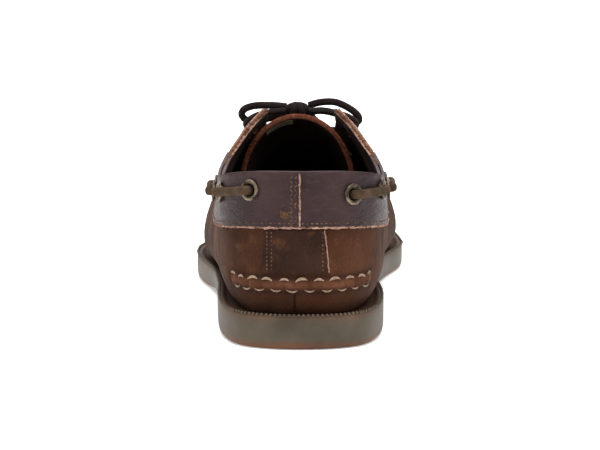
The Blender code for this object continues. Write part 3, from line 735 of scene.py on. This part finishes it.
def add_softbox(name, spot, target, size, power):
    data = bpy.data.lights.new(name, "AREA")
    data.shape = "RECTANGLE"
    data.size, data.size_y = size
    data.energy = power
    light = bpy.data.objects.new(name, data)
    light.location = spot
    aim = Vector(target) - Vector(spot)
    light.rotation_euler = aim.to_track_quat("-Z", "Y").to_euler()
    bpy.context.scene.collection.objects.link(light)


def add_stage():
    look = Look("pale_floor", 0.9)
    look.colour(look.blend(look.noise(4, 2) * 0.1, tint(250, 250, 249), tint(240, 240, 240)))
    look.shader.inputs["Emission Color"].default_value = (1, 1, 1, 1)
    look.shader.inputs["Emission Strength"].default_value = 0.30
    deselect()
    bpy.ops.mesh.primitive_plane_add(size=8, location=(0, 1.0, 0))
    floor = bpy.context.object
    floor.name = "floor"
    floor.data.materials.append(look.material)
    world = bpy.data.worlds.new("studio")
    world.use_nodes = True
    world.node_tree.nodes["Background"].inputs["Color"].default_value = (1, 1, 1, 1)
    world.node_tree.nodes["Background"].inputs["Strength"].default_value = 0.42
    bpy.context.scene.world = world
    bpy.context.scene.view_settings.view_transform = "Standard"
    add_softbox("top_softbox", (0, -0.35, 1.3), (0, -0.05, 0), (1.0, 1.0), 18)
    add_softbox("left_softbox", (-1.2, -0.9, 0.7), (0, -0.1, 0.04), (0.8, 0.8), 5)
    add_softbox("right_softbox", (1.2, -0.7, 0.8), (0, -0.1, 0.04), (0.8, 0.8), 5)
    add_softbox("floor_light", (0, 1.6, 1.5), (0, 1.6, 0), (2.4, 2.0), 52)


# Laces


def smooth_route(points, count):
    """Points read from a smooth curve through a cord's own points."""
    spots = [place(*p) for p in points]
    route = []
    for step in range(count):
        t = (len(spots) - 1) * step / (count - 1)
        i = min(int(t), len(spots) - 2)
        a, b = spots[max(i - 1, 0)], spots[i]
        c, d = spots[i + 1], spots[min(i + 2, len(spots) - 1)]
        u = t - i
        bend = (2 * a - 5 * b + 4 * c - d) * u * u + (3 * b - a - 3 * c + d) * u * u * u
        route.append(0.5 * (2 * b + (c - a) * u + bend))
    return route


def route_length(route):
    return sum((b - a).length for a, b in zip(route, route[1:]))


def lace_tube(name, route, diameter, material):
    """A lace along a route, as a curve of one open spline."""
    curve = bpy.data.curves.new(name, "CURVE")
    curve.dimensions = "3D"
    curve.bevel_depth = diameter / 2
    curve.bevel_resolution = 4
    curve.use_fill_caps = True
    spline = curve.splines.new("POLY")
    spline.points.add(len(route) - 1)
    for point, spot in zip(spline.points, route):
        point.co = (*spot, 1)
    curve.materials.append(material)
    piece = bpy.data.objects.new(name, curve)
    bpy.context.scene.collection.objects.link(piece)
    return piece


def add_bow(lace):
    """The bow's loops and ends, each a free cord that starts at the knot."""
    for name, points, far_end in (
        ("lace_loop_lateral", LATERAL_LOOP, "object"),
        ("lace_loop_medial", MEDIAL_LOOP, "object"),
        ("lace_end_lateral", LATERAL_END, "bare"),
        ("lace_end_medial", MEDIAL_END, "bare"),
    ):
        route = smooth_route(points, 40)
        piece = lace_tube("soft_" + name, route, LACE_DIAMETER, lace)
        carry(piece, "lace_rawhide", name)
        route_length(route)


def add_knot(lace):
    """The tied knot: two turns of the lace that hold the loops, over a filled middle."""
    x, y, z = KNOT_CENTRE
    turns = []
    wraps = ((3.6, 2.6, 14, -1.7), (3.4, 2.4, -22, 1.6))
    for number, (deep, tall, tilt, shift) in enumerate(wraps):
        lean = math.radians(tilt)
        route = []
        for k in range(25):
            turn = math.radians(360 * k / 24)
            along = shift + tall * math.sin(turn) * math.sin(lean)
            up = tall * math.sin(turn) * math.cos(lean)
            route.append(place(x + along, y + deep * math.cos(turn), z + up))
        turns.append(lace_tube(f"turn_{number}", route, 3.3 * MM, lace))
    activate(*turns)
    bpy.ops.object.convert(target="MESH")
    deselect()
    bpy.ops.mesh.primitive_uv_sphere_add(segments=24, ring_count=16, radius=0.5)
    middle = bpy.context.object
    middle.scale = (13.2 * MM, 7.4 * MM, 8.2 * MM)
    middle.location = place(x, y + 1.2, z - 0.2)
    middle.data.materials.append(lace)
    activate(middle, *[bpy.data.objects[f"turn_{number}"] for number in (0, 1)])
    bpy.ops.object.join()
    bpy.ops.object.transform_apply(location=True, rotation=True, scale=True)
    knot = bpy.context.object
    knot.name = "tied_knot"
    bpy.ops.object.shade_smooth()
    carry(knot, "lace_rawhide", "lace_knot")


# Eyelets


def eyelet_seat(node):
    """The middle of a CAD eyelet's face, and the way that it looks."""
    mesh = bpy.data.objects[node].data
    areas = {}
    for polygon in mesh.polygons:
        way = tuple(round(a, 2) for a in polygon.normal)
        areas[way] = areas.get(way, 0) + polygon.area
    axis = -Vector(max(areas, key=areas.get)).normalized()
    top = max(v.co.dot(axis) for v in mesh.vertices)
    face = [v.co for v in mesh.vertices if v.co.dot(axis) > top - 0.1 * MM]
    return sum(face, Vector()) / len(face), axis


def model_eyelet():
    """A rolled ring with a short barrel, spun from its section."""
    deselect()
    bpy.ops.mesh.primitive_torus_add(
        major_segments=32, minor_segments=12, major_radius=3.95 * MM, minor_radius=0.84 * MM
    )
    ring = bpy.context.object
    bpy.ops.object.mode_set(mode="EDIT")
    bpy.ops.transform.resize(value=(1, 1, 0.72), center_override=(0, 0, 0))
    bpy.ops.object.mode_set(mode="OBJECT")
    for vertex in ring.data.vertices:
        turn = math.atan2(vertex.co.y, vertex.co.x)
        vertex.co *= 1 + 0.020 * math.sin(9 * turn) + 0.010 * math.sin(4 * turn + 1)
    bpy.ops.mesh.primitive_cylinder_add(
        vertices=32, radius=3.2 * MM, depth=2.6 * MM, end_fill_type="NOTHING",
        location=(0, 0, -1.3 * MM),
    )
    barrel = bpy.context.object
    wall = barrel.modifiers.new("wall", "SOLIDIFY")
    wall.thickness = 0.3 * MM
    finish_modifiers(barrel)
    activate(ring, barrel)
    bpy.ops.object.join()
    bpy.ops.object.shade_smooth()
    return ring


def add_eyelets(brass):
    nodes = [node for node in SLOTS if node.startswith("eyelet")]
    model = model_eyelet()
    for node in nodes:
        middle, axis = eyelet_seat(node)
        piece = model.copy()
        piece.data = model.data.copy()
        piece.name = "rolled_" + node
        bpy.context.scene.collection.objects.link(piece)
        turn = axis.to_track_quat("Z", "Y").to_matrix().to_4x4()
        piece.matrix_world = Matrix.Translation(middle - axis * 0.62 * MM) @ turn
        activate(piece)
        bpy.ops.object.transform_apply(location=True, rotation=True, scale=True)
        piece.data.materials.clear()
        piece.data.materials.append(brass)
        carry(piece, "eyelet_metal", node)
    bpy.data.objects.remove(model)


def line_eyelets(inner):
    """The lining over the back of each side eyelet, where the lace's channel runs behind it."""
    for node in (node for node in SLOTS if node.startswith("eyelet") and "side" in node):
        middle, axis = eyelet_seat(node)
        bpy.ops.mesh.primitive_cylinder_add(vertices=28, radius=4.4 * MM, depth=0.4 * MM)
        patch = bpy.context.object
        patch.name = "lining_behind_" + node
        turn = axis.to_track_quat("Z", "Y").to_matrix().to_4x4()
        patch.matrix_world = Matrix.Translation(middle - axis * LINING_DEPTH) @ turn
        activate(patch)
        bpy.ops.object.transform_apply(location=True, rotation=True, scale=True)
        bpy.ops.object.shade_smooth_by_angle(angle=math.radians(40))
        patch.data.materials.append(inner)
        carry(patch, "lining_leather")


# Hand sewn seams


def sew_heel(upper, thread, groove_shadow):
    """Puckers and crescent stitches along the raised seam round the heel."""
    ridge = folds("upper", 25, lambda p: p.y < -75 * MM and 22 * MM < p.z < 35 * MM)[0]
    if ridge[0].x > ridge[-1].x:
        ridge = ridge[::-1]
    ridge = [p for p in ridge if abs(p.x) < 33.5 * MM]
    refine(upper, lambda p: p.y < -92 * MM and 21 * MM < p.z < 38 * MM)
    pitch = route_length(ridge) / 11
    push(upper, ridge, 2.4 * MM, -0.7 * MM)

    def biting(gone):
        turn = math.pi * gone / pitch
        return (1.5 * abs(math.cos(turn)) ** 4 - 0.5 * math.sin(2.6 * turn)) * MM

    push(upper, ridge, 2.2 * MM, biting)
    for rise, depth in ((3.2, 0.5), (-3.8, 0.8)):
        push(upper, [p + Vector((0, 0, rise * MM)) for p in ridge], 1.5 * MM, depth * MM)
    outside = Outside(upper)
    paint(upper, "scuff", outside.laid(ridge), 1.9 * MM, 0.9)
    for rise in (3.6, -4.4):
        line = outside.laid([p + Vector((0, 0, rise * MM)) for p in ridge])
        paint(upper, "shade", line, 1.3 * MM, 0.6)
    shake = random.Random(4)
    matrices = []
    for spot, along in paced(ridge, pitch):
        spot = spot + Vector((0, 0, (2.4 + shake.uniform(-0.25, 0.25)) * MM))
        size = shake.uniform(0.72, 0.98)
        matrices.append(seat_on(outside, spot, along, shake.uniform(-7, 7), 0.3 * MM, size))
    upper_row = model_stitch("heel_stitches", 6.0 * MM, 1.5 * MM, 1.5 * MM, 1.0 * MM, 0.3)
    copies("heel_seam_upper_stitches", upper_row, matrices, thread, "lace_rawhide")
    matrices = []
    for spot, along in paced(ridge, pitch, 1.0)[:-1]:
        spot = spot - Vector((0, 0, (2.9 + shake.uniform(-0.3, 0.3)) * MM))
        size = shake.uniform(0.9, 1.1)
        matrices.append(seat_on(outside, spot, along, shake.uniform(-6, 6), 0.25 * MM, size))
    lower_row = model_stitch("lower_stitches", 5.0 * MM, 0.7 * MM, 1.0 * MM, -0.9 * MM, 0.2)
    copies("heel_seam_lower_stitches", lower_row, matrices, thread, "lace_rawhide")
    # The centre seam's groove, drawn as a thin dark tube of painted shadow.
    seam = [outside.from_behind(-3.2, 24.5 - 0.8 * k) for k in range(12)]
    rope("heel_centre_seam", outside, [p for p in seam if p], 0.42 * MM, groove_shadow, "upper_leather")


def sew_toe(upper, thread):
    """Puckers and stitches across the raised seam round the plug."""
    ridge = folds("upper", 25, lambda p: p.y > 20 * MM and p.z > 36 * MM)[0]
    refine(upper, lambda p: p.y > 20 * MM and p.z > 34 * MM)
    pitch = 5.6 * MM
    biting = lambda gone: 0.8 * MM * abs(math.cos(math.pi * gone / pitch)) ** 6
    push(upper, ridge, 2.2 * MM, biting)
    outside = Outside(upper)
    paint(upper, "scuff", outside.laid(ridge), 1.8 * MM, 0.45)
    matrices = [
        seat_on(outside, spot, along, 90, 0.1 * MM) for spot, along in paced(ridge, pitch, 0.5)
    ]
    model = model_stitch("toe_stitches", 4.0 * MM, 1.3 * MM, 1.1 * MM, 0.0, 1.5)
    copies("plug_seam_stitches", model, matrices, thread, "lace_rawhide")


def crease_leather(upper, collar):
    """The soft troughs that wear leaves in the quarters, the vamp and the collar."""
    outside = Outside(upper)
    for side in (-1, 1):
        for y, top, width, depth in ((48, 52, 6, 0.9), (74, 47, 5, 0.8), (100, 50, 6, 0.8)):
            line = [
                outside.hit(place(side * 90, y + k, top - 2.2 * k), Vector((-side, 0, 0)))
                for k in range(12)
            ]
            push(upper, [p for p in line if p], width * MM, depth * MM)
    for y, depth in ((184, 0.7), (193, 0.9), (203, 0.6)):
        line = [
            outside.hit(place(x, y + 0.004 * x * x, 120), Vector((0, 0, -1)))
            for x in range(-34, 35, 2)
        ]
        push(upper, [p for p in line if p], 3.2 * MM, depth * MM)
    outside = Outside(collar)
    for s, width, depth in ((-62, 5, 0.7), (-24, 4, 0.5), (10, 5, 0.4), (30, 4, 0.5), (66, 5, 0.7)):
        line = [outside.round_heel(s + k * 0.5, 74 - 2.0 * k) for k in range(10)]
        push(collar, [p for p in line if p], width * MM, depth * MM)


def mark_sole(sole):
    """Paints where the rubber shows its amber without the painted side sheen, where it is grooved
    and where it lies in shadow.
    """
    names = ("amber", "tread", "shade")
    layers = {name: sole.data.attributes.new(name, "FLOAT", "POINT") for name in names}
    lows = {}
    for vertex in sole.data.vertices:
        key = round(vertex.co.y / (4 * MM))
        lows[key] = min(lows.get(key, 1), vertex.co.z)
    for vertex in sole.data.vertices:
        rise = vertex.co.z - lows[round(vertex.co.y / (4 * MM))]
        up, down = max(0, vertex.normal.z), max(0, -vertex.normal.z)
        amber = max(min(1.0, max(0.0, 1.1 - rise / (4.2 * MM))), min(1.0, 1.6 * up))
        layers["amber"].data[vertex.index].value = amber
        layers["tread"].data[vertex.index].value = 1.0 if down > 0.9 else 0.0
        layers["shade"].data[vertex.index].value = 0.55 if up > 0.6 else 0.0


def add_rim_teeth(sole, rubber):
    """The fine teeth that run round the top of the sole's wall."""
    rims = folds("outsole", 25, lambda p: p.z > 9 * MM, outer=False)
    rim = rims[1] if len(rims) > 1 else rims[0]
    outside = Outside(sole)
    deselect()
    bpy.ops.mesh.primitive_cube_add(size=1)
    model = bpy.context.object
    bpy.ops.object.mode_set(mode="EDIT")
    bpy.ops.transform.resize(value=(1.15 * MM, 1.2 * MM, 1.3 * MM), center_override=(0, 0, 0))
    bpy.ops.mesh.bevel(offset=0.25 * MM, segments=1)
    bpy.ops.object.mode_set(mode="OBJECT")
    matrices = []
    for spot, along in paced(rim, 2.1 * MM):
        across = Vector((-along.y, along.x, 0)).normalized()
        flat = Matrix((along, across, Vector((0, 0, 1)))).transposed().to_4x4()
        matrices.append(Matrix.Translation(spot + Vector((0, 0, 0.1 * MM))) @ flat)
    copies("rim_teeth", model, matrices, rubber, "outsole_rubber")


def sew_collar(collar, dark_thread, edge):
    """The collar's frayed lower edge with its stitches, and the lapped seam down its back."""
    outside = Outside(collar)
    low = [line for line in folds("collar", 60, lambda p: True)][0]
    lower = [p for p in low if p.z < 56 * MM]
    lower.sort(key=lambda p: math.atan2(p.x, -(p.y + 60 * MM)))
    rope(
        "collar_frayed_edge", outside, lower, 0.45 * MM, edge, "collar_leather",
        rough=0.24 * MM, lift=-0.1 * MM,
    )
    inner_line = [p + Vector((0, 0, 2.1 * MM)) for p in lower]
    stitch_row("collar_stitches", outside, inner_line, 2.1 * MM, dark_thread, "collar_leather")
    seam_x = -0.9
    heights = [52.5 + 0.6 * k for k in range(46)]
    back = [p for p in (outside.from_behind(seam_x, z) for z in heights) if p]
    rope(
        "collar_back_edge", outside, back, 0.42 * MM, edge, "collar_leather",
        rough=0.14 * MM, lift=0.05 * MM, seed=3,
    )
    for k, x in enumerate((-2.7, -4.6)):
        line = [p for p in (outside.from_behind(x, z) for z in heights[1:-3]) if p]
        stitch_row(
            f"collar_zigzag_{k}", outside, line, 1.9 * MM, dark_thread, "collar_leather",
            length=2.1 * MM, zigzag=40,
        )


def sew_strip(strip, dark_thread, edge):
    """The stitch rows down both sides of the heel strip, and its cut edge at the right."""
    outside = Outside(strip)
    for name, x in (("left_outer", -15.4), ("left_inner", -13.4), ("right", 9.3)):
        line = [p for p in (outside.from_behind(x, 34.5 + 0.8 * k) for k in range(24)) if p]
        stitch_row(f"strip_stitches_{name}", outside, line, 1.8 * MM, dark_thread, "upper_leather")

    def right_edge(z):
        tries = (outside.from_behind(12.0 - 0.3 * k, z) for k in range(9))
        return next((spot for spot in tries if spot), None)

    line = [p for p in (right_edge(33.6 + 0.6 * k) for k in range(34)) if p]
    rope("strip_cut_edge", outside, line, 0.32 * MM, edge, "upper_leather", 0.10 * MM, 0.0, 5)


def sew_stays(stays, dark_thread):
    """A stitch row inside each eyestay's edge."""
    for stay, side in zip(stays, ("lateral", "medial")):
        outside = Outside(stay)
        rim = folds(f"eyestay_{side}", 60, lambda p: True)[0]
        spot, along = paced(rim, STAY_STITCH_PITCH)[8]
        inward = seat_on(outside, spot, along, aside=STAY_STITCH_INSET)
        lands_on_stay = (inward.translation - spot).length > 1.6 * MM
        stitch_row(
            f"{side}_stay_stitches", outside, rim, STAY_STITCH_PITCH, dark_thread, "upper_leather",
            aside=STAY_STITCH_INSET if lands_on_stay else -STAY_STITCH_INSET,
        )


def add_label(tongue):
    """The blank label on the tongue's inner face, left of its middle."""
    outside = Outside(tongue)
    cloth = plain("label_cloth", tint(150, 140, 116), tint(186, 174, 148))

    def spot_at(u, v):
        x = -17.0 + 12.8 * u
        return outside.hit(place(x, 117 + 9.0 * v, 55), Vector((0, 0, 1)))

    panel("tongue_label", outside, spot_at, 12, 6, 0.4 * MM, 0.05 * MM, cloth, "upper_leather")


def round_tab_edges(upper, edge):
    """The rough cut edge of the eyestay and the quarter, which are cemented face to face."""
    outside = Outside(upper)
    lines = folds("upper", 60, lambda p: -70 * MM < p.y < 20 * MM and p.z > 68 * MM)
    for side, line in zip("ab", lines[:2]):
        line = [p - Vector((0, 0, 0.7 * MM)) for p in line]
        rope(f"tab_cut_edge_{side}", outside, line, 1.0 * MM, edge, "upper_leather", 0.20 * MM)


def add_fray(collar, edge):
    """The loose thread ends at the foot of the collar's back seam."""
    outside = Outside(collar)
    shake = random.Random(11)
    matrices = []
    for _ in range(26):
        spot = outside.from_behind(-7.6 + shake.gauss(0, 0.8), 59.5 + shake.gauss(0, 1.1))
        if spot:
            along = Vector((shake.uniform(-1, 1), 0, shake.uniform(-1, 1))).normalized()
            matrices.append(seat_on(outside, spot, along, 0, shake.uniform(0.1, 0.5) * MM))
    model = model_stitch("fray", 2.2 * MM, 0.34 * MM, 0.34 * MM, 0.5 * MM, 0.3)
    copies("collar_fray", model, matrices, edge, "collar_leather")


def main():
    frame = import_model()
    for part in frame["record"]["subparts"]:
        SLOTS[part["node"]] = part["material_slot"]
    add_camera()
    add_stage()
    suede = nubuck("oiled_nubuck", tint(52, 29, 18), tint(86, 52, 33))
    strip_suede = nubuck("dark_nubuck", tint(36, 22, 17), tint(62, 40, 30))
    smooth, inner = collar_leather(), lining()
    edge = raw_edge("raw_cut_edge", tint(104, 72, 60), tint(184, 148, 130))
    tab_edge = raw_edge("tab_cut_edge", tint(56, 36, 27), tint(118, 84, 64))
    red_edge = raw_edge("tongue_cut_edge", tint(66, 32, 22), tint(128, 74, 52))
    rubber, brass = sole_rubber(), aged_brass()
    # One rawhide lace in two copies: the darker copy carries painted shade for the backlit top of
    # the lacing, and the lighter one is the lit copy for the side dashes.
    lace = rawhide("rawhide_painted_backlit_shade", tint(20, 15, 15), tint(44, 34, 32))
    lit_side_lace = rawhide("rawhide_lit_copy", tint(62, 48, 36), tint(96, 76, 58))
    seam_thread = plain("waxed_thread", tint(104, 82, 66), tint(174, 150, 128))
    dark_thread = plain("dark_thread", tint(34, 22, 18), tint(122, 92, 76), scale=420)
    shadow = plain("seam_shadow", tint(20, 12, 9), tint(32, 19, 14), 0.95)

    def leather_faces(outer, cut, arched=False):
        def choose(spot, normal, cut_edge):
            if cut_edge and (arched or not faces_out(spot, normal)):
                return cut
            return 1 if looks_in(spot, normal) else outer

        return choose

    def upper_faces(spot, normal, cut_edge):
        if cut_edge and spot.z > 30 * MM and not faces_out(spot, normal):
            return 3 if spot.y < COLLAR_END else 2
        return 1 if looks_in(spot, normal) else 0

    def collar_faces(spot, normal, cut_edge):
        if cut_edge and normal.z < 0.5 and not faces_out(spot, normal):
            return 2
        return 0

    upper = skin("upper", "nubuck_upper", 2, (suede, inner, edge, smooth), upper_faces, 80)
    collar = skin("collar", "smooth_collar", 2, (smooth, inner, edge), collar_faces)
    strip_looks = (strip_suede, inner, edge)
    strip = skin("heel_strip", "soft_heel_strip", 1, strip_looks, leather_faces(0, 0))
    leathers = (suede, inner, edge)
    stays = [
        skin(f"eyestay_{side}", f"soft_eyestay_{side}", 2, leathers, leather_faces(0, 2))
        for side in ("lateral", "medial")
    ]
    tongue = skin("tongue", "soft_tongue", 2, (suede, inner, red_edge), leather_faces(0, 2, True))
    sole = skin("outsole", "rubber_outsole", 1, (rubber,), lambda *given: 0, 25)

    sew_heel(upper, seam_thread, shadow)
    sew_toe(upper, seam_thread)
    crease_leather(upper, collar)
    mark_sole(sole)
    add_rim_teeth(sole, rubber)
    carry(upper, "upper_leather", "upper")
    carry(collar, "collar_leather", "collar")
    carry(strip, "upper_leather", "heel_strip")
    carry(tongue, "upper_leather", "tongue")
    for stay, side in zip(stays, ("lateral", "medial")):
        carry(stay, "upper_leather", f"eyestay_{side}")
    carry(sole, "outsole_rubber", "outsole")

    sew_collar(collar, dark_thread, edge)
    sew_strip(strip, dark_thread, edge)
    sew_stays(stays, dark_thread)
    add_label(tongue)
    round_tab_edges(upper, tab_edge)
    add_fray(collar, plain("frayed_thread", tint(70, 48, 30), tint(122, 90, 60)))
    add_eyelets(brass)
    line_eyelets(inner)
    add_bow(lace)
    add_knot(lace)
    for node in SLOTS:
        if node.startswith("lace_") and "loop" not in node and "end" not in node:
            if node == "lace_knot":
                continue
            # Side dashes take the lit copy, the rest the copy with painted shade.
            material = lit_side_lace if "side" in node else lace
            piece = skin(node, "soft_" + node, 2, (material,), lambda *given: 0, 80)
            carry(piece, "lace_rawhide", node)
    bpy.data.objects["insole"].data.materials.clear()
    bpy.data.objects["insole"].data.materials.append(inner)


main()
